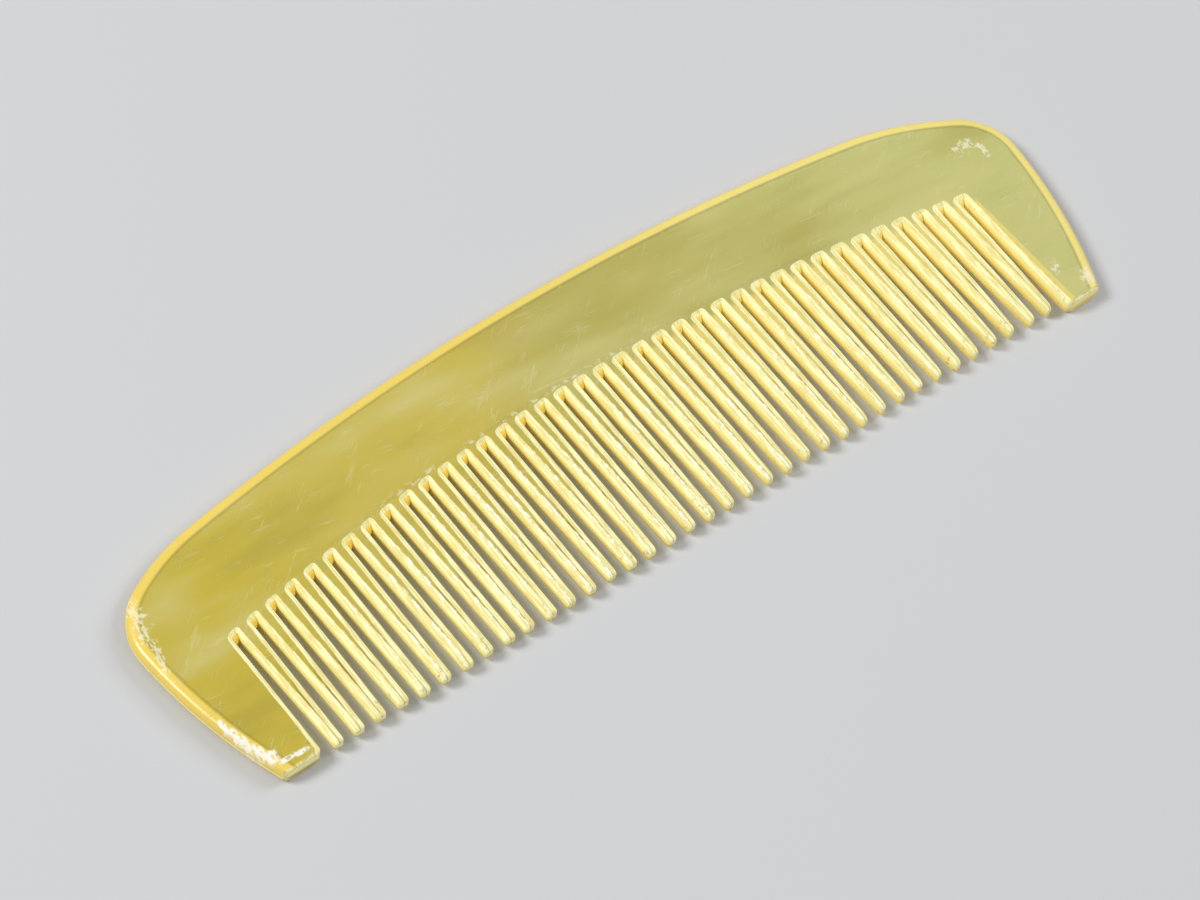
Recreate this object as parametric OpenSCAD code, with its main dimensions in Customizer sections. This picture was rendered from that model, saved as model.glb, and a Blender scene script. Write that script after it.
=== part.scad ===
// Pocket comb sawn from one flat piece of horn.
// Millimetres. X runs along the comb, Y towards the arched back, Z up from the
// surface that the comb lies on. The origin is under the middle of the comb.

/* [Plate] */
// Length over the two rounded sides
comb_length = 120; // [117:1:135]
// Width from the tooth tips to the top of the back
comb_width = 33.9; // [32:0.1:38]
// Thickness of the plate
thickness = 2.4; // [2.2:0.1:3.2]
// Radius of the rounded rim
rim_radius = 0.9; // [0.4:0.05:1.05]

/* [Outline] */
// Radius of the long arched back
back_radius = 286; // [265:1:340]
// Radius of the haunch between the back and the left shoulder
left_haunch_radius = 26.6; // [20:0.2:45]
// Radius of the haunch between the back and the right shoulder
right_haunch_radius = 38.6; // [20:0.2:45]
// Angle above level at which a haunch runs on into the shoulder
haunch_end = 60; // [54:1:66]
// Radius of the round shoulders
shoulder_radius = 7.4; // [6.4:0.1:9]
// Radius of the curved sides
side_radius = 64; // [54:0.5:80]
// Angle below level at which a shoulder runs on into the side
side_end = 4.4; // [3:0.1:8]

/* [Teeth] */
// Number of teeth between the two end guards
tooth_count = 37; // [25:1:37]
// Distance from one slot to the next
pitch = 2.7; // [2.6:0.01:2.75]
// Distance from the top of the back to the row of slot ends
spine_width = 12.4; // [10:0.1:15]
// Radius of the arc on which the slots end
row_radius = 264.6; // [240:0.2:320]
// How far the row of slots lies off the middle of the comb
row_shift = -0.5; // [-0.7:0.05:0]
// Width of a slot at its closed end
slot_root_w = 0.9; // [0.8:0.05:1.1]
// Width of a slot at the tooth tips
slot_tip_w = 1.5; // [1.2:0.05:1.7]
// How far the row of tips drops or rises at either end
tip_run_out = 0.45; // [0:0.05:0.6]

/* [Filed bevels] */
// Angle between a filed bevel and the upright slot wall
bevel_angle = 56; // [50:1:62]
// Width of the bevel beside the closed end of a slot
bevel_root_w = 0.5; // [0.3:0.01:0.65]
// Share of a tooth's length at which its two bevels meet in a ridge
ridge_share = 0.75; // [0.6:0.01:0.95]
// Depth of the scribed step where the teeth leave the plate
step_depth = 0.06; // [0.03:0.01:0.12]
// Further thinning of each face from the step to the tips
thinning = 0.2; // [0.05:0.01:0.3]

/* [Tooth tips] */
// Length of the rounded nose of a tooth
nose_length = 0.7; // [0.4:0.05:1]
// Height of the blunt end of the nose
nose_height = 0.9; // [0.6:0.05:1.1]

/* [Guards] */
// How far the worn left guard stops short of the tips
left_guard_short = 0.45; // [0:0.05:1.2]
// How far the right guard reaches past the tips
right_guard_long = 1.25; // [0:0.05:1.5]
// Width of the bevel across the foot of a guard
foot_bevel = 0.3; // [0.15:0.05:0.8]

/* [Hidden] */

// Clearance by which a cutting shape passes the surfaces that it cuts
past = 1;
// Facets along each side, shoulder, haunch and half of the back, and round the rim
side_steps = 8;
shoulder_steps = 8;
haunch_steps = 6;
back_steps = 14;
rim_steps = 4;
// Facets round the closed end of a slot
slot_end_steps = 8;
// Size of the worn corners beside a tooth tip, and the corner itself: how far it
// is cut away, and how high above the tips, as shares of that size
ease = 0.3;
worn_corner = [[0, 2], [0.35, 0.7], [1.2, -0.3]];
// How far the step across the teeth lies behind the closed ends of the slots
step_lead = 0.22;
// How much lower the nose of a tooth is than its thinned face
nose_drop = 0.15;
// Flat sides of the closed end of a filed groove
end_sides = 6;
half_length = comb_length / 2;
mid_z = thickness / 2;
slot_count = tooth_count + 1;
// The tips lie on Y = 0 while the comb is shaped, and this centres it in Y
centre_y = (comb_width - right_guard_long) / 2;
// Lowest place that any foot or tooth can reach
low_y = -right_guard_long - 2 * past;

// The outline is four arcs a side that touch each other. The haunch differs between
// the two sides, and the other three arcs follow from it.
back_centre = [0, comb_width - back_radius];
function back_end(haunch) =
    acos((half_length - shoulder_radius - (haunch - shoulder_radius) * cos(haunch_end))
         / (back_radius - haunch));
function haunch_centre(haunch) =
    back_centre + (back_radius - haunch) * [cos(back_end(haunch)), sin(back_end(haunch))];
function shoulder_centre(haunch) =
    haunch_centre(haunch) + (haunch - shoulder_radius) * [cos(haunch_end), sin(haunch_end)];
function side_centre(haunch) =
    shoulder_centre(haunch) - (side_radius - shoulder_radius) * [cos(side_end), -sin(side_end)];
function foot_angle(haunch) = asin((low_y - side_centre(haunch)[1]) / side_radius);

// Slots end on an arc that runs beside the back
row_centre_y = comb_width - spine_width - row_radius;
slot_root_r = slot_root_w / 2;
bevel_slope = tan(bevel_angle);
groove_root_depth = (slot_root_r + bevel_root_w) / bevel_slope;
groove_ridge_depth = (pitch / 2) / bevel_slope;

// Points of an arc about c, without the last few of them
function arc(c, r, from, to, steps, without = 0) =
    [for (i = [0:steps - without]) c + r * [cos(from + (to - from) * i / steps),
                                            sin(from + (to - from) * i / steps)]];

// Middle of slot j and of tooth i along the comb
function slot_x(j) = row_shift + (j - (slot_count - 1) / 2) * pitch;
function tooth_x(i) = slot_x(i) + pitch / 2;

// Height of the slot ends and of the tooth tips at a place along the comb, to the
// nearest thousandth, so that a slot and its groove end at just the same height
function thousandth(v) = round(v * 1000) / 1000;
function root_y(x) = thousandth(row_centre_y + sqrt(row_radius * row_radius - x * x));
function tip_y(x) = thousandth(-tip_run_out * pow(x / (slot_count * pitch / 2), 3));

// Right half of an outline with one haunch radius, drawn in by a distance, from the
// foot to the back
function half_outline(haunch, inset) = concat(
    arc(side_centre(haunch), side_radius - inset, foot_angle(haunch), -side_end, side_steps, 1),
    arc(shoulder_centre(haunch), shoulder_radius - inset, -side_end, haunch_end, shoulder_steps, 1),
    arc(haunch_centre(haunch), haunch - inset, haunch_end, back_end(haunch), haunch_steps, 1),
    arc(back_centre, back_radius - inset, back_end(haunch), 90, back_steps));

// Whole outline, drawn in by a distance, at one height
function outline_ring(inset, z) =
    let (right = half_outline(right_haunch_radius, inset),
         left = half_outline(left_haunch_radius, inset))
    concat([for (p = right) [p[0], p[1], z]],
           [for (i = [len(left) - 2:-1:0]) [-left[i][0], left[i][1], z]]);

// Whole blank, before the slots are sawn: a flat plate whose rim is rounded off
// by rings of narrow facets
module blank() {
    quarter = arc([rim_radius, rim_radius], rim_radius, 270, 180, rim_steps);
    section = concat(quarter, [for (i = [rim_steps:-1:0])
                               [quarter[i][0], thickness - quarter[i][1]]]);
    rings = [for (p = section) outline_ring(p[0], p[1])];
    n = len(rings[0]);
    last = (len(rings) - 1) * n;
    points = [for (ring = rings) each ring];
    sides = [for (k = [0:n:last - 1]) for (i = [0:n - 1])
             [k + i, k + n + i, k + n + (i + 1) % n, k + (i + 1) % n]];
    polyhedron(points, concat([[for (i = [0:n - 1]) i]], sides,
                              [[for (i = [n - 1:-1:0]) last + i]]));
}

// Through cut of one slot: a round end, straight walls that part towards the
// tips, and corners eased beside the two tips
module slot_cut(x) {
    length = root_y(x) - slot_root_r - tip_y(x);
    tip_r = slot_tip_w / 2;
    corner = [for (p = worn_corner) [tip_r, 0] + ease * p];
    side = concat(corner, [[corner[2][0], low_y - past - tip_y(x)]]);
    translate([x, tip_y(x), -past])
        linear_extrude(thickness + 2 * past)
            polygon(concat(arc([0, length], slot_root_r, 180, 0, slot_end_steps), side,
                           [for (i = [3:-1:0]) [-side[i][0], side[i][1]]]));
}

// V groove filed along one slot in the upper face. Its bottom line falls
// towards the tips, and its closed end is a half cone with flat sides.
module groove(x) {
    length = root_y(x) - slot_root_r - tip_y(x);
    fall = (groove_ridge_depth - groove_root_depth) / (ridge_share * length);
    run = length + 3 * past;
    near_h = groove_root_depth + past;
    far_h = near_h + fall * run;
    far_w = far_h * bevel_slope;
    rim = arc([0, 0], near_h * bevel_slope, 180, 0, end_sides);
    last = end_sides + 1;
    points = concat([for (p = rim) [p[0], p[1], near_h]],
                    [[0, 0, 0], [0, -run, near_h - far_h],
                     [-far_w, -run, near_h], [far_w, -run, near_h]]);
    faces = concat([for (i = [0:end_sides - 1]) [last, i + 1, i]],
                   [[last, 0, last + 2, last + 1], [last, last + 1, last + 3, end_sides],
                    [last + 1, last + 2, last + 3],
                    concat([for (i = [0:end_sides]) i], [last + 3, last + 2])]);
    translate([x, root_y(x) - slot_root_r, thickness - groove_root_depth])
        polyhedron(points, faces);
}

// Sloping cut that steps one tooth down from the upper face and thins it
module thinned_tooth(x) {
    width = pitch - slot_root_w + 2 * ease;
    length = root_y(x) - tip_y(x);
    translate([x - width / 2, root_y(x) + step_lead, thickness - step_depth])
        rotate([atan(thinning / length), 0, 0])
            translate([0, -length - 2 * past, 0])
                cube([width, length + 2 * past, 2 * past]);
}

// Everything beyond the nose of one tooth or foot. On either side of the middle
// the nose is half_end high at its end and half_full high one length further in.
module past_nose(x, y, width, length, half_end, half_full) {
    over = mid_z + past;
    belly = [length / 3, (half_end + 2 * half_full) / 3];
    rise = (half_full - belly[1]) / (length - belly[0]);
    upper = [[0, half_end], belly, [belly[0] + (over - belly[1]) / rise, over],
             [low_y - past - y, over]];
    translate([x - width / 2, y, mid_z])
        rotate([90, 0, 90])
            linear_extrude(width)
                polygon(concat(upper, [for (i = [3:-1:0]) [upper[i][0], -upper[i][1]]]));
}

// Cut that ends one guard at a height. Its inner edge is the middle of the last slot.
module past_foot(side, edge, y) {
    width = half_length - edge + past;
    past_nose(side * (edge + width / 2), y, width, foot_bevel, mid_z - foot_bevel, mid_z);
}

// Cuts that end the teeth and the two guards
module trimmed_ends() {
    tooth_w = pitch - slot_tip_w + 2 * ease;
    tooth_half = mid_z - step_depth - thinning - nose_drop;
    for (i = [0:tooth_count - 1])
        past_nose(tooth_x(i), tip_y(tooth_x(i)), tooth_w, nose_length, nose_height / 2,
                  tooth_half);
    past_foot(-1, -slot_x(0), left_guard_short);
    past_foot(1, slot_x(slot_count - 1), -right_guard_long);
}

// Shapes both faces alike
module both_faces() {
    children();
    translate([0, 0, thickness])
        mirror([0, 0, 1])
            children();
}

module comb() {
    color("darkkhaki")
        translate([0, -centre_y, 0])
            difference() {
                blank();
                for (j = [0:slot_count - 1])
                    slot_cut(slot_x(j));
                both_faces() {
                    for (j = [0:slot_count - 1])
                        groove(slot_x(j));
                    for (i = [0:tooth_count - 1])
                        thinned_tooth(tooth_x(i));
                }
                trimmed_ends();
            }
}

comb();
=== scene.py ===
import math

import bmesh
import bpy
import numpy as np
from mathutils import Matrix, Vector


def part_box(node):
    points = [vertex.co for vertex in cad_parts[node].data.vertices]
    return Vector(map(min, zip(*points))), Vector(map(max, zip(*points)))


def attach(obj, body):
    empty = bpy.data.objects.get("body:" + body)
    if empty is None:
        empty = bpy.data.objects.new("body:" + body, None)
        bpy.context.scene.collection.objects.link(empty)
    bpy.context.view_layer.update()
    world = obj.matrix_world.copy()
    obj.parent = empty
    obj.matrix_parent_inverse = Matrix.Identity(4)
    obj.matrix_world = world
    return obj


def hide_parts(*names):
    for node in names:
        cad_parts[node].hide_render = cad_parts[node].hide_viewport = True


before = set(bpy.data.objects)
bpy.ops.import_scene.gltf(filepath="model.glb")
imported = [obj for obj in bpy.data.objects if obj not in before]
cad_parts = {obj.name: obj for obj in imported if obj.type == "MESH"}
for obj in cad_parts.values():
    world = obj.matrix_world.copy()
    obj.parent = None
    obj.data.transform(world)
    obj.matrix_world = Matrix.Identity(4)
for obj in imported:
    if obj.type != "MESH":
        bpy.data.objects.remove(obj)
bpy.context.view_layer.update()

# Sizes of the comb are in millimetres, and its tips lie on Y = 0 while it is shaped
MM = 0.001
SHAPE_SEED = 37

# Plate, as long, wide and thick as the solid
RIGHT_FOOT_LONG = 1.25
LEFT_FOOT_SHORT = 0.45
solid_low, solid_high = (np.array(corner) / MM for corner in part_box("comb"))
HALF_LENGTH = (solid_high[0] - solid_low[0]) / 2
MID = (solid_high[2] - solid_low[2]) / 2
TIPS_Y = solid_low[1] + RIGHT_FOOT_LONG
WIDTH = solid_high[1] - TIPS_Y

# Four arcs that make each half of the outline. The haunch, between the back and the
# shoulder, differs between the left half and the right one. The side arc starts at the
# lowest height, below the feet
BACK_RADIUS = 286.0
LEFT_HAUNCH_RADIUS = 26.6
RIGHT_HAUNCH_RADIUS = 38.6
HAUNCH_END = math.radians(60)
SHOULDER_RADIUS = 7.4
SIDE_RADIUS = 64.0
SIDE_END = math.radians(4.4)
LOWEST = -3.0

# Rounded rim: a quarter round, a shallow second bevel and a strip of the face
RIM_ROUND = 0.92
RIM_BEVEL = 1.42
RIM_BEVEL_DROP = 0.07
RIM_STRIP = 1.7
RIM_BEVEL_STEPS = 3
RIM_ROUND_STEPS = 7

# Slots and teeth
TOOTH_COUNT = 37
SLOT_COUNT = TOOTH_COUNT + 1
PITCH = 2.7
HALF_PITCH = PITCH / 2
SPINE_WIDTH = 12.4
ROW_RADIUS = 264.6
ROW_Y = WIDTH - SPINE_WIDTH - ROW_RADIUS
ROW_SHIFT = -0.65
SLOT_ROOT_HALF = 0.45
SLOT_TIP_HALF = 0.75
TEETH_HALF = SLOT_COUNT * HALF_PITCH
TIP_RUN_OUT = 0.45

# Filed bevels. The one on the left of a slot is wide and shallow, the one on its right
# narrow and steep, and both get wider from the left end of the row to the right one
ROW_STOPS = [0, 18.5, 37]
LEFT_BEVEL_WIDTHS = [0.5, 0.65, 0.82]
RIGHT_BEVEL_WIDTHS = [0.42, 0.5, 0.55]
LEFT_BEVEL_FALL = 0.34
RIGHT_BEVEL_FALL = 0.84
BEVEL_END = 0.34
BEVEL_END_FALL = 0.75
EDGE_WEAR = 0.04
RIDGE_SHARE = 0.75
RIDGE_SLANT = 0.05
RIDGE_LEAD = 0.05
RIDGE_FADE = 0.08
BLUNT_STRIP = 0.03
STRIP_MOST = 0.97
GUARD_BEVEL = 0.45
GUARD_BEVEL_FOOT = 0.6
GUARD_BEVEL_POWER = 8
GUARD_BEVEL_MOST = 0.9
GUARD_STRIP = 0.55

# The scribed step and the thinning of the teeth
STEP_LEAD = 0.5
STEP_DEPTH = 0.05
STEP_ENDS = 3 * PITCH
STEP_FADE = 4 * PITCH
SCRIBE_POWER = 3
THINNING = 0.2

# A slot's closed end is round on its left and nearly square on its right: 2 is a
# circle. Half way down its wall bulges towards the tips
LEFT_CORNERS = [2.4, 2.1, 1.7]
RIGHT_CORNER = 5.0
END_BULGE = 0.8

# Rounded ends of the teeth and of the guards
NOSE_LENGTH = 0.75
NOSE_HEIGHT = 0.5
LEFT_TOOTH_CORNER = 0.38
RIGHT_TOOTH_CORNER = 0.6
LEFT_CORNER_LENGTH = 0.4
RIGHT_CORNER_LENGTH = 0.95
TIP_TAPER = 0.4
TAPER_FROM = 0.55
TAPER_POWER = 1.5
FOOT_NOSE_LENGTH = 0.32
FOOT_NOSE_HEIGHT = 0.78
FOOT_FILED = 1.2
FOOT_INNER_CORNER = 0.6
FOOT_OUTER_CORNER = 0.3

# Where the rows and columns of the surfaces lie
END_STOPS = np.array([0, 0.03, 0.08, 0.16, 0.27, 0.42, 0.6, 0.85])
SHAFT_STEPS = 26
BEVEL_STOPS = np.array([0, 0.07, 0.35, 0.65, 0.9, 1])
STRIP_STOPS = np.array([0.12, 0.5, 1])
ARCH_SIDE_STEPS = 4
ARCH_TOP_STEPS = 12
PLATE_STOPS = np.array([0, 0.006, 0.05, 0.12, 0.2, 0.3, 0.4, 0.5, 0.6, 0.7, 0.8, 0.9, 1])
WALL_STOPS = np.array([1, 0.9, 0, -0.9, -1])
MERGE_WITHIN = 0.002

# How far tooth tips lean to the right, at the left and right ends of the row
LEFT_LEAN = 0.65
RIGHT_LEAN = 0.2

# Shares of the row between which teeth get to be worn as the right ones are
RIGHT_WEAR_FROM = 0.25
RIGHT_WEAR_FULL = 0.75

# The most that a hand-filed tooth differs from the plain one, and the share of its length
# from which the file wanders fully
LEAN_SPREAD = 0.13
LENGTH_SPREAD = 0.12
WIDTH_SPREAD = 0.05
RIDGE_SPREAD = 0.08
FILE_WANDER = 0.03
WANDER_FULL = 0.25


def slot_x(j):
    """Middle of the closed end of slot j: slots are a pitch apart, and the row is shifted to the left."""
    return ROW_SHIFT + (j - (SLOT_COUNT - 1) / 2) * PITCH


def root_line(x):
    """Height of the slot ends at x: an arc that runs beside the back."""
    return ROW_Y + np.sqrt(ROW_RADIUS ** 2 - x ** 2)


def common_lean(x):
    """How far a tip at x leans to the right: less and less from the left end of the row to the right one."""
    return LEFT_LEAN + (RIGHT_LEAN - LEFT_LEAN) * (x + TEETH_HALF) / (2 * TEETH_HALF)


def tip_line(x):
    """Height of the tooth tips at x: level in the middle, and falling or rising with x cubed."""
    return -TIP_RUN_OUT * (x / TEETH_HALF) ** 3


def step_depth(x):
    """Depth of the scribed step at x: full in the middle, and smoothly nothing at the guards."""
    share = np.clip((TEETH_HALF - STEP_ENDS - np.abs(x)) / STEP_FADE, 0, 1)
    return STEP_DEPTH * share * share * (3 - 2 * share)


def soft_over(value):
    """The value where it is above nothing, and nothing below, joined by a parabola over the worn edge."""
    near = np.clip(value + EDGE_WEAR, 0, 2 * EDGE_WEAR)
    return np.where(value > EDGE_WEAR, value, near * near / (4 * EDGE_WEAR))


def over_edge(value):
    """1 where the value is above the worn edge, 0 below it, and straight between."""
    return np.clip(value / (2 * EDGE_WEAR) + 0.5, 0, 1)


def bevel_width(side, j):
    """Width of a bevel beside the closed end of slot j, on its left (side -1) or right (side 1): straight
    lines between the left end, the middle and the right end of the row."""
    return np.interp(j, ROW_STOPS, LEFT_BEVEL_WIDTHS if side < 0 else RIGHT_BEVEL_WIDTHS)


def bevel_fall(side):
    """How much a bevel falls for each millimetre of its width, on the left or right of a slot."""
    return LEFT_BEVEL_FALL if side < 0 else RIGHT_BEVEL_FALL


def rounding(distance, length):
    """Quarter circle: 0 at the end and 1 from one length further in."""
    return np.sqrt(1 - (1 - np.clip(distance / length, 0, 1)) ** 2)


def across(half, bevel):
    """Distances from a wall to the middle of a tooth: first over the bevel, then over the strip."""
    over_bevel = bevel[..., None] * BEVEL_STOPS
    over_strip = bevel[..., None] + (half - bevel)[..., None] * STRIP_STOPS
    return np.concatenate([over_bevel, over_strip], axis=-1)


def rows_to_root(end, root):
    """Heights of the rows of a tooth or guard: fixed stops beside its end, then even steps to the root."""
    start = end + END_STOPS[-1]
    share = np.linspace(0, 1, SHAFT_STEPS + 1)[1:]
    near_end = end + END_STOPS[:, None] + 0 * root
    shaft = start + share[:, None] * (root - start)
    return np.concatenate([near_end, shaft], axis=0)


class Surfaces:
    """Grids of points that together make one closed skin, with what the finish needs to know of each."""

    def __init__(self):
        self.grids = []

    def add(self, x, y, z, **marks):
        """One grid. z is measured from the middle of the thickness."""
        shape = np.broadcast(x, y, z).shape
        place = np.stack([np.broadcast_to(v, shape) for v in (x, y + TIPS_Y, z + MID)], axis=-1)
        values = {name: np.broadcast_to(v, shape) for name, v in marks.items()}
        self.grids.append((place, values))

    def add_faces(self, x, y, height, **marks):
        """The upper face at +height and the lower one at -height."""
        self.add(x, y, height, **marks)
        self.add(x, y, -height, **marks)

    def add_wall(self, x, y, height, bulge=0.0, **marks):
        """A wall below an edge: the edge at the wall's stops times its height, moved towards the tips by
        the bulge times (1 - stop squared)."""
        sawn = (np.abs(WALL_STOPS) < 1).astype(float)
        along = {name: np.asarray(v)[..., None] + 0 * sawn for name, v in marks.items()}
        moved = np.asarray(bulge)[..., None] * (1 - WALL_STOPS ** 2)
        self.add(x[..., None], y[..., None] - moved, height[..., None] * WALL_STOPS, sawn=sawn, **along)

    def mesh(self, name, marks):
        """All grids as one mesh in metres, merged where they meet, with faces turned outwards."""
        places, faces, columns = [], [], {mark: [] for mark in marks}
        start = 0
        for place, values in self.grids:
            rows, width = place.shape[:2]
            index = start + np.arange(rows * width).reshape(rows, width)
            quads = np.stack([index[:-1, :-1], index[1:, :-1], index[1:, 1:], index[:-1, 1:]], axis=-1)
            faces.append(quads.reshape(-1, 4))
            places.append(place.reshape(-1, 3))
            for mark, rest in marks.items():
                value = values.get(mark, np.full((rows, width), rest))
                columns[mark].append(value.reshape(-1))
            start += rows * width
        mesh = bpy.data.meshes.new(name)
        mesh.from_pydata((np.concatenate(places) * MM).tolist(), [], np.concatenate(faces).tolist())
        for mark in marks:
            layer = mesh.attributes.new(mark, "FLOAT", "POINT")
            layer.data.foreach_set("value", np.concatenate(columns[mark]).astype(np.float32))
        shell = bmesh.new()
        shell.from_mesh(mesh)
        bmesh.ops.remove_doubles(shell, verts=shell.verts, dist=MERGE_WITHIN * MM)
        bmesh.ops.recalc_face_normals(shell, faces=shell.faces)
        shell.to_mesh(mesh)
        shell.free()
        mesh.shade_smooth()
        return mesh


# Marks that the finish reads, and what each is where a grid doesn't say
MARKS = {"filed": 0.0, "sawn": 0.0, "along": 0.0, "inwards": 0.0, "rim": 5.0, "scribe": 0.0,
         "slot_end": 0.0, "chance": 0.5, "ridge": 9.0}


class HalfOutline:
    """Side, shoulder, haunch and back arc of one half, each touching the next, as one line that is
    followed from below the foot to the middle of the back."""

    def __init__(self, haunch_radius):
        level = HALF_LENGTH - SHOULDER_RADIUS - (haunch_radius - SHOULDER_RADIUS) * math.cos(HAUNCH_END)
        back_end = math.acos(level / (BACK_RADIUS - haunch_radius))
        back = np.array([0.0, WIDTH - BACK_RADIUS])
        haunch = back + (BACK_RADIUS - haunch_radius) * np.array([math.cos(back_end), math.sin(back_end)])
        way = np.array([math.cos(HAUNCH_END), math.sin(HAUNCH_END)])
        shoulder = haunch + (haunch_radius - SHOULDER_RADIUS) * way
        way = np.array([math.cos(SIDE_END), -math.sin(SIDE_END)])
        side = shoulder - (SIDE_RADIUS - SHOULDER_RADIUS) * way
        self.side_from = math.asin((LOWEST - side[1]) / SIDE_RADIUS)
        self.centres = np.array([side, shoulder, haunch, back])
        self.radii = np.array([SIDE_RADIUS, SHOULDER_RADIUS, haunch_radius, BACK_RADIUS])
        self.angles = np.array([self.side_from, -SIDE_END, HAUNCH_END, back_end])
        turned = np.diff(np.append(self.angles, math.pi / 2))
        self.runs = np.append(0, np.cumsum(self.radii * turned)[:-1])
        self.length = self.runs[3] + BACK_RADIUS * turned[3]
        self.corner = self.runs[1] + SHOULDER_RADIUS * (math.pi / 4 + SIDE_END)

    def at(self, run, inset):
        """Place at a run along the line, drawn in by an inset: the centre of the arc there plus
        (radius - inset) towards the angle that the run has reached."""
        arc = np.clip(np.searchsorted(self.runs, run, side="right") - 1, 0, 3)
        angle = self.angles[arc] + (run - self.runs[arc]) / self.radii[arc]
        radius = self.radii[arc] - inset
        return self.centres[arc, 0] + radius * np.cos(angle), self.centres[arc, 1] + radius * np.sin(angle)


HALVES = {-1: HalfOutline(LEFT_HAUNCH_RADIUS), 1: HalfOutline(RIGHT_HAUNCH_RADIUS)}


def guard_rim(side, foot, inset):
    """Rows of the rim beside a guard, from the foot to the middle of the shoulder. Beside the foot a row
    lies level, on the side arc drawn in by the inset and by the foot's rounded corner."""
    half = HALVES[side]
    side_x, side_y = half.centres[0]
    height = foot + END_STOPS[:, None]
    drawn = inset + FOOT_OUTER_CORNER * (1 - rounding(END_STOPS[:, None], FOOT_OUTER_CORNER))
    level_x = side_x + np.sqrt((SIDE_RADIUS - drawn) ** 2 - (height - side_y) ** 2)
    first = SIDE_RADIUS * (math.asin((foot + END_STOPS[-1] - side_y) / SIDE_RADIUS) - half.side_from)
    steps = SHAFT_STEPS + ARCH_SIDE_STEPS
    run = np.linspace(first, half.corner, steps + 1)[1:, None]
    x, y = half.at(run, inset)
    return np.concatenate([level_x, x]), np.concatenate([height + 0 * inset, y])


def foot_height(distance):
    """Share of the full height that is left near the foot of a guard."""
    return FOOT_NOSE_HEIGHT + (1 - FOOT_NOSE_HEIGHT) * rounding(distance, FOOT_NOSE_LENGTH)


def foot_filed(distance):
    """How much the file shows near the foot of a guard: fully at its end, and not past its nose."""
    return np.clip(FOOT_FILED - distance / FOOT_NOSE_LENGTH, 0, 1)


def rim_profile():
    """Section of the rim as inset and height: the face, a shallow bevel, a quarter round and the wall,
    then the same in reverse below."""
    flat = np.array([RIM_STRIP, (RIM_STRIP + RIM_BEVEL) / 2])
    bevel = np.linspace(RIM_BEVEL, RIM_ROUND, RIM_BEVEL_STEPS)
    bevel_height = MID - RIM_BEVEL_DROP * (RIM_BEVEL - bevel) / (RIM_BEVEL - RIM_ROUND)
    turn = np.linspace(0, math.pi / 2, RIM_ROUND_STEPS)[1:]
    top = MID - RIM_BEVEL_DROP
    inset = np.concatenate([flat, bevel, RIM_ROUND * (1 - np.sin(turn))])
    height = np.concatenate([flat * 0 + MID, bevel_height, top - RIM_ROUND * (1 - np.cos(turn))])
    return inset, height


def add_arches(skin):
    """Closed end of each slot with the faces beside it. Rows run outwards from the slot, first over the
    bevel as round-cornered squares, |x|^n + |y|^n = r^n with one n on the left and another on the right,
    and then towards a frame of one pitch by the scribed step. The bevel's width and fall blend from the end
    to the sides with the sine of the turn squared. The wall bulges with its cosine squared."""
    turn = np.linspace(-math.pi / 2, math.pi / 2, 2 * ARCH_SIDE_STEPS + ARCH_TOP_STEPS + 1)
    side = np.linspace(0, 1, ARCH_SIDE_STEPS + 1)[:-1]
    top = np.linspace(-1, 1, ARCH_TOP_STEPS + 1)
    frame_x = HALF_PITCH * np.concatenate([side * 0 - 1, top, side * 0 + 1])
    rise = SLOT_ROOT_HALF + STEP_LEAD
    frame_y = rise * np.concatenate([side, top * 0 + 1, side[::-1]])
    share = STRIP_STOPS[:, None]
    aside = np.sin(turn) ** 2
    fall = np.where(turn < 0, LEFT_BEVEL_FALL, RIGHT_BEVEL_FALL)
    fall = BEVEL_END_FALL + (fall - BEVEL_END_FALL) * aside
    for j in range(SLOT_COUNT):
        power = np.where(turn < 0, np.interp(j, ROW_STOPS, LEFT_CORNERS), RIGHT_CORNER)
        square = (np.abs(np.sin(turn)) ** power + np.abs(np.cos(turn)) ** power) ** (-1 / power)
        way_x, way_y = square * np.sin(turn), square * np.cos(turn)
        bevel = np.where(turn < 0, bevel_width(-1, j), bevel_width(1, j))
        bevel = BEVEL_END + (bevel - BEVEL_END) * aside
        ring = SLOT_ROOT_HALF + bevel * BEVEL_STOPS[:, None]
        ring_x, ring_y = ring * way_x, ring * way_y
        out_x, out_y = share * (frame_x - ring_x[-1]), share * (frame_y - ring_y[-1])
        x = slot_x(j) + np.concatenate([ring_x, ring_x[-1] + out_x])
        y = root_line(x) - SLOT_ROOT_HALF + np.concatenate([ring_y, ring_y[-1] + out_y])
        inside = np.concatenate([bevel * (1 - BEVEL_STOPS[:, None]), -np.hypot(out_x, out_y)])
        height = MID - step_depth(x) - fall * soft_over(inside)
        scribe = np.concatenate([0 * ring_x, share ** SCRIBE_POWER * (frame_y >= rise)])
        skin.add_faces(x, y, height, filed=over_edge(inside), scribe=scribe)
        skin.add_wall(x[0], y[0], height[0], bulge=END_BULGE * (1 - aside), filed=1 + 0 * x[0],
                      slot_end=1 - aside)


def right_share(i):
    """How much tooth i is worn as the right ones are: not in the first quarter of the row, fully in the
    last one, and straight between."""
    return np.clip((i / TOOTH_COUNT - RIGHT_WEAR_FROM) / (RIGHT_WEAR_FULL - RIGHT_WEAR_FROM), 0, 1)


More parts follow.
